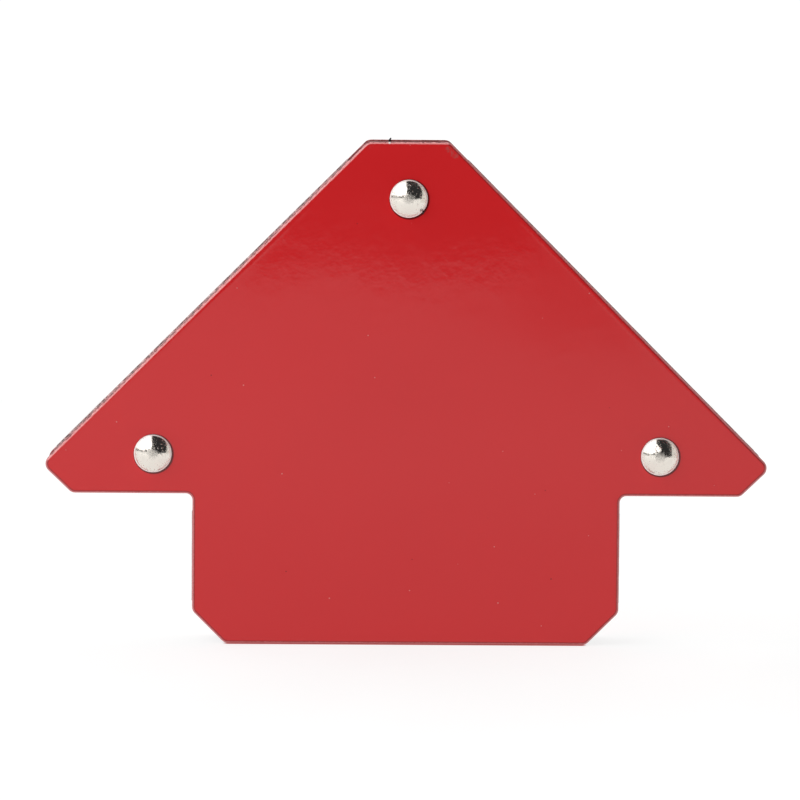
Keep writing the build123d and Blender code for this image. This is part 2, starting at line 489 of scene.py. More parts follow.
def outward(angle):
    """The direction in X and Z that an angle in degrees means."""
    return Vector((math.cos(math.radians(angle)), 0, math.sin(math.radians(angle))))


def reach(node, direction):
    """The least and greatest distance of a CAD node's points along a direction."""
    along = [vertex.co.dot(direction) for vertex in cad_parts[node].data.vertices]
    return min(along), max(along)


def rounded_loop(corners, step):
    """Points and outward normals round a clockwise outline; a corner is (x, z, radius)."""
    loop = []
    count = len(corners)
    for i, (x, z, radius) in enumerate(corners):
        here = Vector((x, z))
        before = Vector(corners[i - 1][:2])
        after = Vector(corners[(i + 1) % count][:2])
        way_in = (here - before).normalized()
        way_out = (after - here).normalized()
        turn = way_in.angle_signed(way_out)
        bulge = 1 if turn > 0 else -1
        cut = radius * math.tan(abs(turn) / 2)
        start_normal = Vector((-way_in.y, way_in.x))
        centre = here - way_in * cut - bulge * radius * start_normal
        arc_step = 0.25 * step
        steps = max(4, round(radius * abs(turn) / arc_step))
        for k in range(steps + 1):
            normal = start_normal.copy()
            normal.rotate(Matrix.Rotation(-turn * k / steps, 2))
            loop.append((centre + bulge * radius * normal, normal))
        far_corner = corners[(i + 1) % count]
        far_turn = way_out.angle_signed((Vector(corners[(i + 2) % count][:2]) - after).normalized())
        straight_end = after - way_out * far_corner[2] * math.tan(abs(far_turn) / 2)
        straight_start = loop[-1][0]
        length = (straight_end - straight_start).length
        pieces = max(1, round(length / step))
        for k in range(1, pieces):
            loop.append((straight_start.lerp(straight_end, k / pieces), loop[-1][1]))
    return loop


def turned_shape(profile, centre, segments):
    """Points, faces and radii in mm of a profile of (radius, y) turned about an axis along Y.

    The profile starts and ends on the axis, or ends at its own first point.
    """
    points, faces, radii, rings = [], [], [], []
    on_axis = 0.001 * MM
    for radius, y in profile:
        if rings and (radius, y) == profile[0]:
            rings.append(rings[0])
            continue
        if radius < on_axis:
            rings.append([len(points)] * segments)
            points.append((centre.x, y, centre.z))
            radii.append(0.0)
            continue
        ring = []
        for k in range(segments):
            angle = 2 * math.pi * k / segments
            ring.append(len(points))
            points.append((centre.x + radius * math.cos(angle), y, centre.z + radius * math.sin(angle)))
            radii.append(radius / MM)
        rings.append(ring)
    for inner, outer in zip(rings, rings[1:]):
        for k in range(segments):
            following = (k + 1) % segments
            corners = [inner[k], outer[k], outer[following], inner[following]]
            faces.append(list(dict.fromkeys(corners)))
    return points, faces, radii


def stations(half, radius, step):
    """Grid lines from -half to half, with one more in each rounded edge."""
    core = half - radius
    count = max(1, round(2 * core / step))
    middle = [-core + 2 * core * k / count for k in range(count + 1)]
    in_edge = core + 0.45 * radius
    return [-half, -in_edge, *middle, in_edge, half]


def rounded_block(halves, radius, step):
    """Points and faces of a block with rounded edges, centred on its own origin."""
    lines = [stations(half, radius, step) for half in halves]
    found, points, faces = {}, [], []

    def vertex(key):
        if key not in found:
            found[key] = len(points)
            corner = Vector([line[k] for line, k in zip(lines, key)])
            core = Vector([max(radius - half, min(half - radius, c)) for half, c in zip(halves, corner)])
            points.append(core + (corner - core).normalized() * radius)
        return found[key]

    for axis in range(3):
        first, second = (axis + 1) % 3, (axis + 2) % 3
        for end in (0, len(lines[axis]) - 1):
            for i in range(len(lines[first]) - 1):
                for j in range(len(lines[second]) - 1):
                    square = [(i, j), (i + 1, j), (i + 1, j + 1), (i, j + 1)]
                    if end == 0:
                        square.reverse()
                    keys = [{axis: end, first: a, second: b} for a, b in square]
                    faces.append([vertex((key[0], key[1], key[2])) for key in keys])
    return points, faces


# ---------------------------------------------------------------- covers

# The distances from the edge that the spots of a face carry: the rim's own lines take up its width, and
# a spot round a hole counts as well away from the edge
RIM_WIDTH = 1.4 * MM
FAR_INSIDE = 20 * MM


def arrow_corners(sizes, low, high):
    """The cover's sharp corners, clockwise from the top right, each with its radius."""
    tip_x = sizes.top_half_width + sizes.diagonal_run
    tip_z = high.z - sizes.diagonal_run
    shoulder_z = tip_z - sizes.tip_rise
    half = [
        (sizes.top_half_width, high.z, sizes.corner_radius),
        (tip_x, tip_z, sizes.corner_radius),
        (tip_x - sizes.tip_run, shoulder_z, sizes.corner_radius),
        (sizes.stem_half_width, shoulder_z, sizes.notch_radius),
        (sizes.stem_half_width, low.z + sizes.foot_chamfer, sizes.corner_radius),
        (sizes.stem_half_width - sizes.foot_chamfer, low.z, sizes.corner_radius),
    ]
    return half + [(-x, z, radius) for x, z, radius in reversed(half)]


def edge_profile(thickness, roll, burr):
    """(inset, depth) of the cover's edge from its inner face round to its outer face."""
    profile = [(burr, thickness), (0.3 * burr, thickness - 0.3 * burr), (0.0, thickness - burr)]
    profile.append((0.0, 0.5 * thickness))
    steps = 7
    for k in range(steps + 1):
        angle = 0.5 * math.pi * k / steps
        profile.append((roll * (1 - math.cos(angle)), roll * (1 - math.sin(angle))))
    return profile


def rivet_places():
    """The middle of each rivet, in X and Z."""
    places = []
    for name in RIVETS:
        low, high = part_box(f"rivet_{name}")
        places.append(Vector(((low.x + high.x) / 2, (low.z + high.z) / 2)))
    return places


def inside(x, z, outline):
    """Whether a point lies inside a closed outline of 2D points."""
    within = False
    before = outline[-1]
    for after in outline:
        if (before.y > z) != (after.y > z):
            share = (z - before.y) / (after.y - before.y)
            if x < before.x + share * (after.x - before.x):
                within = not within
        before = after
    return within


def sheet_depth(x, z, inset, sizes, holes, facing):
    """How far the outer face lies in from flat: waves in the sheet, fat paint edges, rivet pull."""
    waves = sizes.wave_depth * wave(x, z, 34 * MM, 0.7 * facing)
    waves += 0.22 * sizes.wave_depth * wave(x, z, 13 * MM, 4.6 * facing)
    bead = -sizes.bead_height * bell(inset - 0.8 * MM, 0.32 * MM)
    droop = 2.2 * sizes.bead_height * bell(inset, 0.45 * MM)
    nearest = min((Vector((x, z)) - hole).length for hole in holes)
    pull = sizes.rivet_pull * bell(nearest, 5.5 * MM)
    return waves + bead + droop + pull


def cover_mesh(sizes, low, high, facing):
    """Points, faces and marks of one cover, whose outer face looks along facing.

    The marks are the distance in from the outline, 1 on the side that faces into the holder, and 1 on
    the upper edges, which get chafe and a painted highlight.
    """
    corners = arrow_corners(sizes, low, high)
    holes = rivet_places()
    thickness = high.y - low.y
    outer_y = low.y if facing == FRONT else high.y
    loop = rounded_loop(corners, sizes.mesh_step)
    profile = edge_profile(thickness, sizes.edge_roll, sizes.burr)
    roll_end = sizes.edge_roll
    line_step = 0.15 * MM
    lines = [(roll_end + k * line_step, 0.0) for k in range(1, 8)]
    points, faces, rim, hidden, upper = [], [], [], [], []
    outer_part = 0.4 * thickness
    # Halfway between the ways that the top flat and the left diagonal face: the upper edges, which face the
    # light and get a painted highlight with chafe
    upward = outward(112.5).xz
    highlit_within = 0.75

    def place(x, z, depth, inset, normal=Vector((0, -1))):
        relief = sheet_depth(x, z, inset, sizes, holes, facing) if depth < outer_part else 0.0
        points.append((x, outer_y - facing * (depth + relief), z))
        rim.append(inset / MM)
        hidden.append(1.0 if depth > outer_part else 0.0)
        upper.append(1.0 if normal.dot(upward) > highlit_within else 0.0)
        return len(points) - 1

    rings = []
    for inset, depth in profile + lines:
        ring = []
        for at, normal in loop:
            shifted = at - inset * normal
            ring.append(place(shifted.x, shifted.y, depth, inset, normal))
        rings.append(ring)
    for first, second in zip(rings, rings[1:]):
        for k in range(len(loop)):
            following = (k + 1) % len(loop)
            faces.append([first[k], second[k], second[following], first[following]])

    outer_edge = [at - lines[-1][0] * normal for at, normal in loop]
    inner_edge = [at - profile[0][0] * normal for at, normal in loop]
    outer_spots, outer_faces, outer_holes = fill_face(outer_edge, holes, sizes, True)
    inner_spots, inner_faces, inner_holes = fill_face(inner_edge, holes, sizes, False)
    outer_ids = rings[-1] + [place(at.x, at.y, 0.0, room) for at, room in outer_spots]
    inner_ids = rings[0] + [place(at.x, at.y, thickness, room) for at, room in inner_spots]
    faces += [[outer_ids[k] for k in face] for face in outer_faces]
    faces += [[inner_ids[k] for k in reversed(face)] for face in inner_faces]
    outer_holes = [[outer_ids[k] for k in ring] for ring in outer_holes]
    inner_holes = [[inner_ids[k] for k in ring] for ring in inner_holes]
    for outer_ring, inner_ring in zip(outer_holes, inner_holes):
        for k in range(len(outer_ring)):
            following = (k + 1) % len(outer_ring)
            faces.append([outer_ring[k], outer_ring[following], inner_ring[following], inner_ring[k]])
    if facing == REAR:
        faces = [list(reversed(face)) for face in faces]
    return points, faces, {"rim_mm": rim, "hidden": hidden, "upper_edge": upper}


def fill_face(edge, holes, sizes, fine):
    """Fills a face inside its edge and round its holes.

    Gives the added spots with their distance from the edge, the triangles, and the ring of each hole.
    Numbers count the edge first and then the spots.
    """
    segments = 48
    ring_step = 0.6 * MM
    spots, hole_rings = [], []
    links = [(k, (k + 1) % len(edge)) for k in range(len(edge))]
    radii = [sizes.hole_radius]
    if fine:
        radii += [sizes.hole_radius + k * ring_step for k in range(1, 8)]
    for hole in holes:
        for radius in radii:
            start = len(edge) + len(spots)
            for k in range(segments):
                angle = 2 * math.pi * k / segments
                around = hole + radius * Vector((math.cos(angle), math.sin(angle)))
                if inside(around.x, around.y, edge):
                    spots.append((around, FAR_INSIDE))
            if radius == sizes.hole_radius:
                links += [(start + k, start + (k + 1) % segments) for k in range(segments)]
                hole_rings.append(range(start, start + segments))
    if fine:
        spots += grid_spots(edge, holes, radii[-1], sizes.mesh_step)
    flat = [at / MM for at in edge] + [at / MM for at, _ in spots]
    all_triangles, tolerance = 0, 1e-5
    corners, _, found, origins, _, _ = delaunay_2d_cdt(flat, links, [], all_triangles, tolerance, True)
    source = [origin[0] for origin in origins]
    triangles = []
    sliver = 0.00005
    outside_hole = 1.02 * sizes.hole_radius
    for triangle in found:
        a, b, c = (corners[k] for k in triangle)
        middle = (a + b + c) * (MM / 3)
        clear = min((middle - hole).length for hole in holes) > outside_hole
        if clear and (b - a).cross(c - a) > sliver and inside(middle.x, middle.y, edge):
            triangles.append([source[k] for k in triangle])
    return spots, triangles, hole_rings


def grid_spots(edge, holes, hole_reach, step):
    """Staggered grid points inside an edge and clear of the holes, with their distance from the edge."""
    rim = KDTree(len(edge))
    for k, at in enumerate(edge):
        rim.insert((at.x, at.y, 0), k)
    rim.balance()
    right = max(at.x for at in edge)
    top = max(at.y for at in edge)
    row_step = step * math.sqrt(3) / 2
    spots = []
    for row in range(math.ceil(top / row_step)):
        z = row * row_step
        for column in range(math.ceil(2 * right / step)):
            x = -right + (column + 0.5 * (row % 2)) * step
            room = rim.find((x, z, 0))[2]
            clear = min((Vector((x, z)) - hole).length for hole in holes) > hole_reach + 0.5 * step
            if room > 0.7 * step and clear and inside(x, z, edge):
                spots.append((Vector((x, z)), room + RIM_WIDTH))
    return spots


# ---------------------------------------------------------------- rivets and spacers


def rivet_profile(sizes, low, high, plate_front, plate_rear):
    """(radius, y) of a set rivet, from the crown of its head round to the bottom of its hollow tail."""
    head_radius = (high.x - low.x) / 2
    rise = plate_front - low.y - sizes.head_rim
    ball = (head_radius**2 + rise**2) / (2 * rise)
    eased_from, last_share = 0.74, 0.9864
    ball_slope = math.asin(eased_from * head_radius / ball)
    edge_slope = math.radians(sizes.edge_slope)
    coarse = [0.03 * k for k in range(12)]
    fine = [0.36 + (last_share - 0.36) * k / 30 for k in range(31)]
    profile = []
    y = low.y
    before = 0.0
    for share in coarse + fine:
        middle = 0.5 * (before + share)
        slope = math.asin(middle * head_radius / ball)
        if middle > eased_from:
            slope = ball_slope + (edge_slope - ball_slope) * (middle - eased_from) / (1 - eased_from)
        y += (share - before) * head_radius * math.tan(slope)
        before = share
        radius = share * head_radius
        pressed = sizes.punch_depth * bell(radius, 0.8 * sizes.punch_mark)
        lip = -0.004 * MM * bell(radius - sizes.punch_mark, 0.1 * MM)
        profile.append((radius, y + pressed + lip))
    last_y = profile[-1][1]
    profile += [
        (head_radius - 0.01 * MM, last_y + 0.05 * MM),
        (head_radius, last_y + 0.10 * MM),
        (head_radius, plate_front - 0.12 * MM),
        (head_radius - 0.03 * MM, plate_front - 0.05 * MM),
        (head_radius - 0.16 * MM, plate_front - 0.005 * MM),
        (sizes.shank_radius, plate_front - 0.002 * MM),
        (sizes.shank_radius, plate_rear + 0.002 * MM),
    ]
    roll = (sizes.roll_radius - sizes.bore_radius) / 2
    middle = sizes.bore_radius + roll
    steps = 14
    for k in range(steps + 1):
        angle = math.pi * k / steps
        roll_y = plate_rear + (high.y - plate_rear) * math.sin(angle)
        profile.append((middle + roll * math.cos(angle), roll_y))
    floor_y = plate_rear - sizes.bore_depth
    profile += [(sizes.bore_radius, floor_y + 0.2 * MM), (0.7 * sizes.bore_radius, floor_y), (0.0, floor_y)]
    return profile


def dent_head(points, radii, plate_front, depth):
    """Dents the head of a rivet, more towards its middle, where the punch struck."""
    dome_radius_mm = 3.0
    for k, (x, y, z) in enumerate(points):
        if y < plate_front - 0.2 * MM and radii[k] < dome_radius_mm:
            place = Vector((x, y, z)) / MM
            dents = noise.noise(place / 0.75) + 0.5 * noise.noise(place / 0.32 + Vector((9, 9, 9)))
            points[k] = (x, y + depth * (1.0 + dents * (0.6 + 0.8 * bell(radii[k], 1.6))), z)


def spacer_profile(sizes, low, high):
    """(radius, y) of a spacer tube with broken corners."""
    outer = (high.x - low.x) / 2
    inner = sizes.bore_radius
    edge = sizes.corner_break
    half = [(outer - edge, low.y), (outer, low.y + edge), (outer, high.y - edge), (outer - edge, high.y)]
    back = [(inner + edge, high.y), (inner, high.y - edge), (inner, low.y + edge), (inner + edge, low.y)]
    return half + back + half[:1]


# ---------------------------------------------------------------- strips, magnets and swarf


def edge_piece(node, angle, radius, step, shape):
    """Points in the frame, faces and lists of marks of a block that lies along a working edge."""
    out = outward(angle)
    along = Vector((out.z, 0, -out.x))
    across = Vector((0, 1, 0))
    ranges = [reach(node, way) for way in (along, across, out)]
    halves = [(high - low) / 2 for low, high in ranges]
    middles = [(high + low) / 2 for low, high in ranges]
    points, faces = rounded_block(halves, radius, step)
    placed, marks = [], []
    for point in points:
        moved, mark = shape(point, halves, middles)
        at = [m + c for m, c in zip(middles, moved)]
        placed.append(along * at[0] + across * at[1] + out * at[2])
        marks.append(mark)
    return placed, faces, list(zip(*marks))


def strip_shape(sizes, side):
    """The change that turns a plain bar into a sheared and roughly dressed one.

    A point's marks are how far it lies below the outer edge, and how far from the cover.
    """
    dressed_band = 0.5 * MM

    def shape(point, halves, middles):
        seed = Vector([c + middle for c, middle in zip(point, middles)])
        coarse = noise.noise(seed / (2.4 * MM))
        fine = noise.noise(seed / (0.5 * MM))
        top = bell(halves[2] - point.z, dressed_band)
        end = bell(halves[0] - abs(point.x), dressed_band)
        lowered = top * sizes.roughness_depth * (0.6 + 0.5 * coarse + 0.5 * abs(fine))
        shortened = end * 2 * sizes.roughness_depth * (0.6 + 0.4 * fine)
        moved = Vector(point)
        moved.z -= lowered
        moved.x -= math.copysign(shortened, point.x)
        cover_face = halves[1] - side * point.y
        return moved, ((halves[2] - point.z) / MM, cover_face / MM)

    return shape


def magnet_shape(sizes):
    """The change that chips a block's edges. A point's one mark is how broken it is."""

    def shape(point, halves, middles):
        seed = Vector([c + middle for c, middle in zip(point, middles)])
        to_faces = sorted(half - abs(c) for half, c in zip(halves, point))
        near_edge = bell(to_faces[1], sizes.chip_size)
        bite = max(0.0, noise.noise(seed / (1.5 * MM)) - 0.12) * near_edge
        bite += 0.25 * max(0.0, noise.noise(seed / (0.5 * MM))) * near_edge
        depth = min(sizes.chip_size, 1.3 * sizes.chip_size * bite)
        moved = Vector(point)
        for axis in range(3):
            closeness = bell(halves[axis] - abs(point[axis]), sizes.chip_size)
            moved[axis] -= math.copysign(depth * closeness, point[axis])
        return moved, (min(1.0, 4 * bite),)

    return shape


def curl(start, heading, size, thickness, turns, seed):
    """Points and faces of one curled chip of swarf, tapering at both ends."""
    rng = random.Random(seed)
    side = heading.cross(Vector((0, 1, 0))).normalized()
    lift = heading.cross(side).normalized()
    points, faces = [], []
    rings, sides = 15, 6
    twist = rng.uniform(0, math.pi)
    for k in range(rings):
        share = k / (rings - 1)
        angle = turns * 2 * math.pi * share
        bow = size * (0.55 + 0.3 * share)
        centre = start + heading * size * share * 0.8
        centre = centre + side * bow * 0.4 * math.sin(angle + twist) + lift * bow * 0.3 * math.cos(angle)
        centre = centre + Vector([rng.uniform(-1, 1) * 0.05 * size for _ in range(3)])
        girth = thickness * (0.25 + 0.75 * math.sin(math.pi * (0.08 + 0.84 * share)))
        for j in range(sides):
            around = 2 * math.pi * j / sides
            points.append(centre + side * girth * math.cos(around) + lift * 0.45 * girth * math.sin(around))
    for k in range(rings - 1):
        for j in range(sides):
            following = (j + 1) % sides
            a, b = k * sides, (k + 1) * sides
            faces.append([a + j, a + following, b + following, b + j])
    faces.append(list(reversed(range(sides))))
    faces.append(list(range((rings - 1) * sides, rings * sides)))
    return points, faces


# ---------------------------------------------------------------- settings


def length(name, description, default, largest=0.2):
    return FloatProperty(
        name=name, description=description, default=default, min=0.0, max=largest, precision=5,
        unit="LENGTH",
    )


def tint(name, description, default):
    return FloatVectorProperty(
        name=name, description=description, default=default, size=3, min=0.0, max=1.0, subtype="COLOR",
    )


def fraction(name, description, default):
    return FloatProperty(name=name, description=description, default=default, min=0.0, max=1.0,
                         subtype="FACTOR")


class PaintSettings(bpy.types.PropertyGroup):
    """The red enamel on both covers."""

    colour: tint("Colour", "Enamel under no gloss", (0.635, 0.018, 0.021))
    scuff_colour: tint("Scuff colour", "Enamel where it is scuffed dull", (0.44, 0.075, 0.072))
    # Painted highlight colour, with chalky wear, for the upper edges
    chafed_and_highlit_colour: tint("Chafed colour", "Enamel chafed chalky on the upper edges", (0.97, 0.42, 0.42))
    # Painted glint colour, near white, where the top edge is nicked
    nick_glint_colour: tint("Nick colour", "Fresh nick in the top edge", (0.95, 0.88, 0.86))
    dust_colour: tint("Dust colour", "Nibs caught in the enamel", (0.75, 0.35, 0.33))
    # Painted shade colour: the dark band inside the cut edges, the teeth on the upper edges, the inner
    # faces and the rings round the rivets
    shade_colour: tint("Edge colour", "Thin enamel over dark steel", (0.13, 0.010, 0.011))
    # Painted highlight colour for the outermost rims
    edge_highlight_colour: tint("Bare colour", "Rubbed outermost edge", (0.62, 0.21, 0.21))
    gloss_index: FloatProperty(name="Gloss index", description="Refractive index of the enamel",
                               default=1.42, min=1.0, max=2.0)
    roughness: fraction("Roughness", "Spread of the enamel's gloss", 0.055)
    peel_depth: length("Peel depth", "Depth of the fine orange peel", 0.002 * MM)
    lump_depth: length("Lump depth", "Depth of the patches of coarser peel", 0.009 * MM)


class CoverSettings(bpy.types.PropertyGroup):
    """The two arrow-shaped covers."""

    top_half_width: length("Top half width", "Half of the flat at the point of the arrow", 6.7 * MM)
    diagonal_run: length("Diagonal run", "Width and height that a diagonal covers", 53.15 * MM)
    tip_run: length("Tip chamfer width", "Width of the cut at a shoulder's tip", 4.95 * MM)
    tip_rise: length("Tip chamfer height", "Height of the cut at a shoulder's tip", 4.75 * MM)
    stem_half_width: length("Stem half width", "Half of the stem's width", 35.1 * MM)
    foot_chamfer: length("Foot chamfer", "Size of the cut at a foot's corner", 5.35 * MM)
    corner_radius: length("Corner radius", "Radius of the outer corners", 1.5 * MM)
    notch_radius: length("Notch radius", "Radius of the inside corners", 1.1 * MM)
    hole_radius: length("Hole radius", "Radius of a rivet hole", 1.6 * MM)
    edge_roll: length("Edge roll", "Radius that the punch leaves on the outer edge", 0.3 * MM)
    burr: length("Burr", "Radius of the inner edge", 0.08 * MM)
    bead_height: length("Bead height", "Height of the fat paint edge", 0.006 * MM)
    wave_depth: length("Wave depth", "Depth of the waves in the sheet", 0.05 * MM)
    rivet_pull: length("Rivet pull", "Depth that a rivet draws the sheet in", 0.012 * MM)
    mesh_step: length("Mesh step", "Spacing of the mesh over a face", 1.2 * MM)


class RivetSettings(bpy.types.PropertyGroup):
    """The three semi-tubular rivets."""

    head_rim: length("Head rim", "Height of the head's straight rim", 0.25 * MM)
    edge_slope: FloatProperty(name="Edge slope", description="Slope of the head at its rim, in degrees",
                              default=50.0, min=20.0, max=80.0)
    punch_mark: length("Punch mark", "Radius of the coarse spot on the head", 1.0 * MM)
    punch_depth: length("Punch depth", "Depth of the coarse spot", 0.035 * MM)
    shank_radius: length("Shank radius", "Radius of the shank", 1.5 * MM)
    roll_radius: length("Roll radius", "Outer radius of the rolled tail", 2.7 * MM)
    bore_radius: length("Bore radius", "Radius of the hollow in the tail", 1.0 * MM)
    bore_depth: length("Bore depth", "Depth of the hollow below the rear cover", 4.5 * MM)
    ripple_depth: length("Ripple depth", "Depth of the fine waves in the plated head", 0.026 * MM)
    colour: tint("Colour", "Nickel plate", (0.81, 0.76, 0.69))
    # Painted highlight colour for the rim of the head
    head_rim_highlight_colour: tint("Lip colour", "Burnished rim of the head", (1.0, 0.95, 0.93))
    dent_depth: length("Dent depth", "Depth of the small dents in the head", 0.005 * MM)
    roughness: fraction("Roughness", "Spread of the plate's gloss", 0.07)
    segments: IntProperty(name="Segments", description="Sides of the turned shape", default=120, min=12)


class SpacerSettings(bpy.types.PropertyGroup):
    """The tubes that hold the covers apart."""

    bore_radius: length("Bore radius", "Radius of the tube's bore", 1.65 * MM)
    corner_break: length("Corner break", "Size of the broken corners", 0.12 * MM)
    colour: tint("Colour", "Zinc plate", (0.52, 0.53, 0.55))
    roughness: fraction("Roughness", "Spread of the plate's gloss", 0.28)
    segments: IntProperty(name="Segments", description="Sides of the turned shape", default=64, min=12)


class StripSettings(bpy.types.PropertyGroup):
    """The steel strips along the working edges."""

    edge_radius: length("Edge radius", "Radius of the strips' corners", 0.14 * MM)
    mesh_step: length("Mesh step", "Spacing of the mesh along a strip", 0.6 * MM)
    roughness_depth: length("Roughness depth", "Depth of the marks in the dressed edge", 0.035 * MM)
    colour: tint("Colour", "Bare steel", (0.76, 0.54, 0.53))
    ground_colour: tint("Ground colour", "Steel where the outer edge is ground", (0.50, 0.47, 0.45))
    # Also, at a third of this, the painted shade below the strips' outer edge
    scale_and_shade_colour: tint("Scale colour", "Mill scale and grime", (0.19, 0.10, 0.095))
    # Also, at about a third of this, the painted shade on the foot and side strips
    overspray_and_shade_colour: tint("Overspray colour", "Paint mist on the steel", (0.52, 0.15, 0.15))
    roughness: fraction("Roughness", "Spread of the steel's gloss", 0.36)


class MagnetSettings(bpy.types.PropertyGroup):
    """The ferrite block magnets."""

    edge_radius: length("Edge radius", "Radius of the blocks' edges", 0.1 * MM)
    mesh_step: length("Mesh step", "Spacing of the mesh over a block", 0.45 * MM)
    chip_size: length("Chip size", "Size of the chips in the edges", 0.45 * MM)
    colour: tint("Colour", "Sintered ferrite", (0.030, 0.030, 0.033))
    dust_colour: tint("Dust colour", "Grinding dust", (0.20, 0.16, 0.15))
    roughness: fraction("Roughness", "Spread of the block's gloss", 0.5)


class SwarfSettings(bpy.types.PropertyGroup):
    """Iron chips that cling to the holder."""

    scale: FloatProperty(name="Scale", description="Size of the chips", default=1.0, min=0.1, max=3.0)


class StageSettings(bpy.types.PropertyGroup):
    """The floor, the lights and the camera."""

    distance: length("Camera distance", "From the camera to the holder", 0.78, 5.0)
    turn: FloatProperty(name="Camera turn", description="How far the camera stands to the left",
                        default=math.radians(0.97), subtype="ANGLE", unit="ROTATION")
    rise: FloatProperty(name="Camera rise", description="How far the camera looks down",
                        default=math.radians(5.0), subtype="ANGLE", unit="ROTATION")
    roll: FloatProperty(name="Camera roll", description="How far the holder leans to the right",
                        default=math.radians(0.47), subtype="ANGLE", unit="ROTATION")
    aim: FloatVectorProperty(name="Aim", description="Where the camera looks", size=3, precision=5,
                             default=(-0.00106, 0.0, 0.03994), subtype="TRANSLATION", unit="LENGTH")
    lens: FloatProperty(name="Lens", description="Focal length in millimetres", default=212.5, min=10.0)
    floor_colour: tint("Floor colour", "Pale seamless paper", (0.20, 0.20, 0.20))
    floor_glow: fraction("Floor glow", "Light that the paper passes from below", 1.0)


class HolderSettings(bpy.types.PropertyGroup):
    """Everything that can be changed."""

    paint: PointerProperty(type=PaintSettings)
    covers: PointerProperty(type=CoverSettings)
    rivets: PointerProperty(type=RivetSettings)
    spacers: PointerProperty(type=SpacerSettings)
    strips: PointerProperty(type=StripSettings)
    magnets: PointerProperty(type=MagnetSettings)
    swarf: PointerProperty(type=SwarfSettings)
    stage: PointerProperty(type=StageSettings)


# ---------------------------------------------------------------- operators


class MakeCovers(bpy.types.Operator):
    """Build the two painted covers."""

    bl_idname = "magnet_holder.make_covers"
    bl_label = "Make Covers"

    def execute(self, context):
        sizes = context.scene.magnet_holder.covers
        material = finish("red_enamel", red_enamel)
        for side, facing in (("front", FRONT), ("rear", REAR)):
            node = f"{side}_cover"
            low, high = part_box(node)
            points, faces, marks = cover_mesh(sizes, low, high, facing)
            add_piece(f"painted_{side}_cover", points, faces, material, [node], marks)
        return {"FINISHED"}


class MakeRivets(bpy.types.Operator):
    """Build the three set rivets."""

    bl_idname = "magnet_holder.make_rivets"
    bl_label = "Make Rivets"

    def execute(self, context):
        sizes = context.scene.magnet_holder.rivets
        material = finish("bright_nickel", bright_nickel)
        plate_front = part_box("front_cover")[0].y
        plate_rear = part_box("rear_cover")[1].y
        for name in RIVETS:
            node = f"rivet_{name}"
            low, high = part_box(node)
            profile = rivet_profile(sizes, low, high, plate_front, plate_rear)
            centre = (low + high) / 2
            points, faces, radii = turned_shape(profile, centre, sizes.segments)
            dent_head(points, radii, plate_front, sizes.dent_depth)
            off_head = 9.0  # behind the holder's middle, a distance that no part of a head has
            across = [r if y < 0 else off_head for r, (_, y, _) in zip(radii, points)]
            marks = {"across_mm": across}
            add_piece(f"set_rivet_{name}", points, faces, material, [node], marks)
        return {"FINISHED"}


class MakeSpacers(bpy.types.Operator):
    """Build the three spacer tubes."""

    bl_idname = "magnet_holder.make_spacers"
    bl_label = "Make Spacers"

    def execute(self, context):
        sizes = context.scene.magnet_holder.spacers
        material = finish("zinc_plate", zinc_plate)
        for name in RIVETS:
            node = f"spacer_{name}"
            low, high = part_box(node)
            profile = spacer_profile(sizes, low, high)
            points, faces, _ = turned_shape(profile, (low + high) / 2, sizes.segments)
            add_piece(f"spacer_tube_{name}", points, faces, material, [node])
        return {"FINISHED"}


class MakeStrips(bpy.types.Operator):
    """Build the pole strips along the working edges."""

    bl_idname = "magnet_holder.make_strips"
    bl_label = "Make Pole Strips"

    def execute(self, context):
        sizes = context.scene.magnet_holder.strips
        material = finish("sheared_steel", sheared_steel)
        for edge, angle in EDGE_ANGLES.items():
            for word, side in (("front", FRONT), ("rear", REAR)):
                node = f"pole_strip_{edge}_{word}"
                shape = strip_shape(sizes, side)
                piece = edge_piece(node, angle, sizes.edge_radius, sizes.mesh_step, shape)
                points, faces, (below, from_cover) = piece
                # 1 on the foot and side strips, which get painted shade
                lower = [0.0 if 0 < angle < 180 else 1.0] * len(points)
                marks = {"below_mm": below, "from_cover_mm": from_cover, "lower_edge": lower}
                name = f"steel_strip_{edge}_{word}"
                add_piece(name, points, faces, material, [node], marks)
        return {"FINISHED"}


class MakeMagnets(bpy.types.Operator):
    """Build the ferrite blocks between the strips."""

    bl_idname = "magnet_holder.make_magnets"
    bl_label = "Make Magnets"

    def execute(self, context):
        sizes = context.scene.magnet_holder.magnets
        material = finish("black_ferrite", black_ferrite)
        shape = magnet_shape(sizes)
        for edge, names in MAGNETS.items():
            for name in names:
                node = f"magnet_{name}"
                angle = EDGE_ANGLES[edge]
                piece = edge_piece(node, angle, sizes.edge_radius, sizes.mesh_step, shape)
                points, faces, (broken,) = piece
                marks = {"broken": broken}
                add_piece(f"ferrite_block_{name}", points, faces, material, [node], marks)
        return {"FINISHED"}


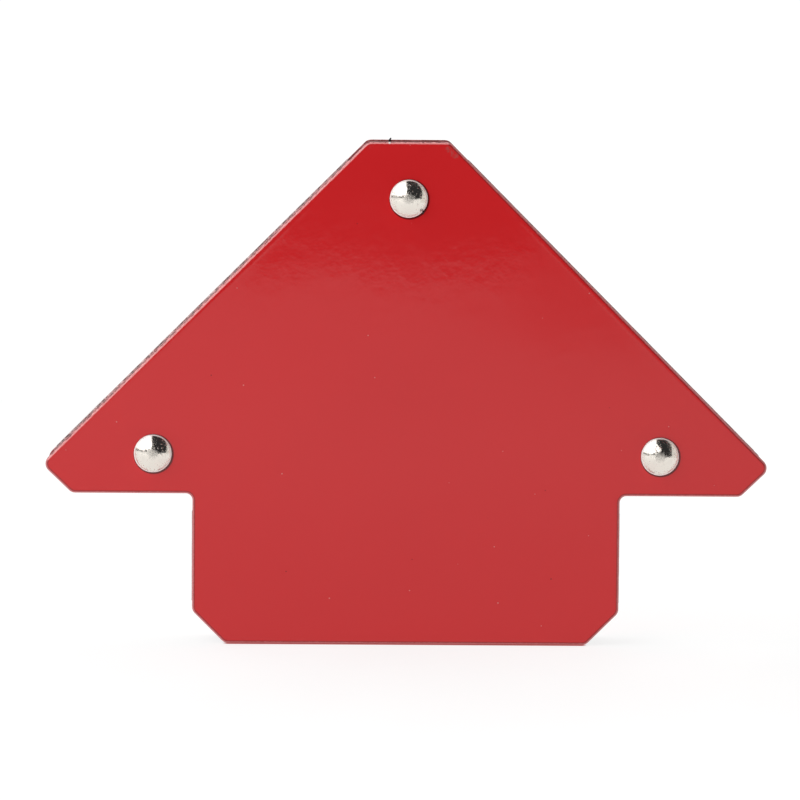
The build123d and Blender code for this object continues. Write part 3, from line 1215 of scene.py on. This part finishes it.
class MakeSwarf(bpy.types.Operator):
    """Scatter the few iron chips that cling to the holder."""

    bl_idname = "magnet_holder.make_swarf"
    bl_label = "Make Swarf"

    def execute(self, context):
        sizes = context.scene.magnet_holder.swarf
        material = finish("iron_chip", iron_chip)
        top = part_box("rear_cover")[1]
        low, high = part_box("rivet_top")
        on_rim = (low + high) / 2 + Vector((2.0 * MM, 0, -1.75 * MM))
        on_rim.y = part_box("front_cover")[0].y - 0.75 * MM
        beside = Vector((0.05 * MM, 0.1 * MM, -0.75 * MM))
        # Where each chip starts, where it heads, its size and girth in millimetres, its turns and its seed
        chips = [
            (Vector((-2.95 * MM, 4.6 * MM, top.z - 0.35 * MM)), (-0.30, 0.1, 1.0), 0.8, 0.24, 0.5, 11),
            (on_rim, (0.45, 0.35, -1.0), 1.1, 0.10, 0.2, 5),
            (on_rim + beside, (1.0, 0.3, 0.25), 0.9, 0.085, 0.2, 8),
        ]
        points, faces = [], []
        for start, heading, size, girth, turns, seed in chips:
            way = Vector(heading).normalized()
            unit = sizes.scale * MM
            chip_points, chip_faces = curl(start, way, size * unit, girth * unit, turns, seed)
            faces += [[k + len(points) for k in face] for face in chip_faces]
            points += chip_points
        add_piece("clinging_swarf", points, faces, material, [])
        return {"FINISHED"}


class SetStage(bpy.types.Operator):
    """Set the floor, the lights, the surroundings and the camera."""

    bl_idname = "magnet_holder.set_stage"
    bl_label = "Set Stage"

    def execute(self, context):
        stage = context.scene.magnet_holder.stage
        lay_floor()
        hang_lights()
        set_surroundings(context.scene)
        set_camera(context.scene, stage)
        context.scene.view_settings.view_transform = "Standard"
        return {"FINISHED"}


# ---------------------------------------------------------------- stage


def paper(name):
    """Pale seamless paper that glows, with painted shade: less glow near the holder and far in front of it
    on the right.

    It is dark red where the holder stands and keeps the light off it.
    """
    stage = bpy.context.scene.magnet_holder.stage
    tree = Finish(name, {"Roughness": 0.9, "Emission Strength": stage.floor_glow})
    place = tree.place()
    grain = tree.clouds(place, 2 * MM, 3.0)
    sheet = tree.blend(grain, solid(stage.floor_colour, 0.98), solid(stage.floor_colour))
    black = solid((0.0, 0.0, 0.0))
    across, along, _ = tree.parts(place)
    # Painted shade: less glow near the holder
    glow = tree.blend(along.ease(-0.02, -0.40), solid((0.82, 0.82, 0.82)), solid((1.0, 1.0, 1.0)))
    mottled = tree.clouds(tree.stretched(place, 1.0, 0.4, 1.0), 90 * MM, 3.0, 0.6)
    glow = tree.blend(mottled.ease(0.40, 0.65) * 0.03, glow, black)
    # Painted shade far in front on the right
    shaded = across.ease(0.02, 0.07) * along.ease(-0.60, -0.70)
    glow = tree.blend(shaded * 0.55, glow, black)
    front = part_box("front_cover")[0].y
    covers = bpy.context.scene.magnet_holder.covers
    foot = covers.stem_half_width - covers.foot_chamfer
    # Painted shadow under the holder's foot, dark red with a painted bounce off the enamel
    under = abs(across).ease(foot + 0.4 * MM, foot - 0.6 * MM)
    under = under * along.ease(front - 0.25 * MM, front + 0.05 * MM) * along.ease(-front, -front - MM)
    glow = tree.blend(under * 0.92, glow, solid((0.35, 0.02, 0.02)))
    sheet = tree.blend(under * 0.8, sheet, solid((0.10, 0.03, 0.03)))
    return tree.feed(base_color=sheet, emission_color=glow)


def light_card(name, points, radiance, tone=(1.0, 1.0, 1.0)):
    """A flat glowing card, unseen by the camera."""
    tree = Tree(bpy.data.materials.new(name))
    glow = tree.node("ShaderNodeEmission", {}, {"Color": solid(tone), "Strength": radiance})
    tree.node("ShaderNodeOutputMaterial", {}, {"Surface": glow})
    card = add_stage_sheet(name, points, tree.owner)
    card.visible_camera = False
    card.visible_shadow = False


def add_stage_sheet(name, points, material):
    """Links one flat face with those corners, which isn't part of the holder."""
    mesh = bpy.data.meshes.new(name)
    mesh.from_pydata(points, [], [list(range(len(points)))])
    mesh.materials.append(material)
    thing = bpy.data.objects.new(name, mesh)
    bpy.context.scene.collection.objects.link(thing)
    return thing


def lay_floor():
    """A paper floor that runs a little way behind the holder and is torn off at a slant in front."""
    torn = [(-1.6, -1.6), (-0.07, -1.22), (-0.02, -1.12), (0.036, -0.99), (0.07, -1.07), (0.3, -1.1),
            (1.5, -1.1)]
    points = [(x, y, 0) for x, y in torn] + [(1.5, 0.45, 0), (-1.6, 0.45, 0)]
    add_stage_sheet("paper_floor", points, finish("paper", paper))


def hang_lights():
    """A tall soft box in front on the left that runs on overhead, and dimmer boards below and right."""
    front, back, left, right = -0.56, 0.10, -0.90, -0.120
    board_top, box_bottom, box_top = 0.12, 0.225, 0.90
    facing_cards = (
        ("left_box", box_bottom, box_top, 2.2),
        ("left_gap", box_bottom, board_top, 0.12),
        ("left_board", 0.0, board_top, 1.0),
    )
    for name, start, end, radiance in facing_cards:
        corners = [(left, front, start), (right, front, start), (right, front, end), (left, front, end)]
        light_card(name, corners, radiance)
    side_cards = (
        ("left_side_gap", board_top, box_bottom, 0.2),
        ("left_side_board", 0.0, board_top, 1.0),
        ("left_side", box_bottom, box_top, 1.6),
    )
    for name, start, end, radiance in side_cards:
        corners = [(left, front, start), (left, front, end), (left, back, end), (left, back, start)]
        light_card(name, corners, radiance)
    overhead_right = -0.14
    overhead = ((left, front), (overhead_right, front), (overhead_right, back), (left, back))
    light_card("left_overhead", [(x, y, box_top) for x, y in overhead], 1.8)
    panel_x = 0.25
    panel_outline = ((-0.13, 0.0), (0.4, 0.0), (0.4, 0.5), (0.0, 0.5), (-0.02, 0.25))
    light_card("right_panel", [(panel_x, y, z) for y, z in panel_outline], 0.85, (1.0, 0.98, 0.95))


def set_surroundings(scene):
    """White to the camera; to the holder, white behind and a dark room in front."""
    world = bpy.data.worlds.new("studio")
    scene.world = world
    tree = Tree(world)
    behind = tree.parts(tree.node("ShaderNodeTexCoord"))[1].ease(0.05, 0.12)
    glow = tree.blend(behind, solid((0.03, 0.03, 0.032)), solid((0.95, 0.95, 0.94)))
    room = tree.node("ShaderNodeBackground", {}, {"Color": glow})
    white = tree.node("ShaderNodeBackground", {}, {"Color": solid((1.0, 1.0, 1.0)), "Strength": 1.05})
    seen = tree.node("ShaderNodeLightPath", output="Is Camera Ray")
    mixed = tree.node("ShaderNodeMixShader", {}, {0: seen, 1: room, 2: white})
    tree.node("ShaderNodeOutputWorld", {}, {"Surface": mixed})


def set_camera(scene, stage):
    """Looks at the holder's face from a little above and a little to the left."""
    aim = Vector(stage.aim)
    level = math.cos(stage.rise)
    away = Vector((-math.sin(stage.turn) * level, -math.cos(stage.turn) * level, math.sin(stage.rise)))
    right = (-away).cross(Vector((0, 0, 1))).normalized()
    up = right.cross(-away)
    tilted_right = right * math.cos(stage.roll) + up * math.sin(stage.roll)
    tilted_up = up * math.cos(stage.roll) - right * math.sin(stage.roll)
    turned = Matrix((tilted_right, tilted_up, away)).transposed().to_4x4()
    camera = bpy.data.objects.new("camera", bpy.data.cameras.new("camera"))
    camera.data.lens = stage.lens
    camera.data.clip_start = 0.01
    camera.matrix_world = Matrix.Translation(aim + away * stage.distance) @ turned
    scene.collection.objects.link(camera)
    scene.camera = camera


# ---------------------------------------------------------------- panel and registration


OPERATORS = (MakeCovers, MakeRivets, MakeSpacers, MakeStrips, MakeMagnets, MakeSwarf, SetStage)


class MagnetHolderPanel(bpy.types.Panel):
    """Lists the pieces of the magnet holder."""

    bl_idname = "VIEW3D_PT_magnet_holder"
    bl_label = "Magnet Holder"
    bl_space_type = "VIEW_3D"
    bl_region_type = "UI"
    bl_category = "Magnet Holder"

    def draw(self, context):
        settings = context.scene.magnet_holder
        for operator in OPERATORS:
            self.layout.operator(operator.bl_idname)
        for group in HolderSettings.__annotations__:
            box = self.layout.box()
            box.label(text=group.title())
            values = getattr(settings, group)
            for name in type(values).__annotations__:
                box.prop(values, name)


GROUPS = (
    PaintSettings, CoverSettings, RivetSettings, SpacerSettings, StripSettings, MagnetSettings,
    SwarfSettings, StageSettings, HolderSettings,
)


def register():
    for item in (*GROUPS, *OPERATORS, MagnetHolderPanel):
        bpy.utils.register_class(item)
    bpy.types.Scene.magnet_holder = PointerProperty(type=HolderSettings)


def unregister():
    del bpy.types.Scene.magnet_holder
    for item in reversed((*GROUPS, *OPERATORS, MagnetHolderPanel)):
        bpy.utils.unregister_class(item)


def main():
    register()
    for operator in OPERATORS:
        group, name = operator.bl_idname.split(".")
        getattr(getattr(bpy.ops, group), name)()


if __name__ == "__main__":
    main()
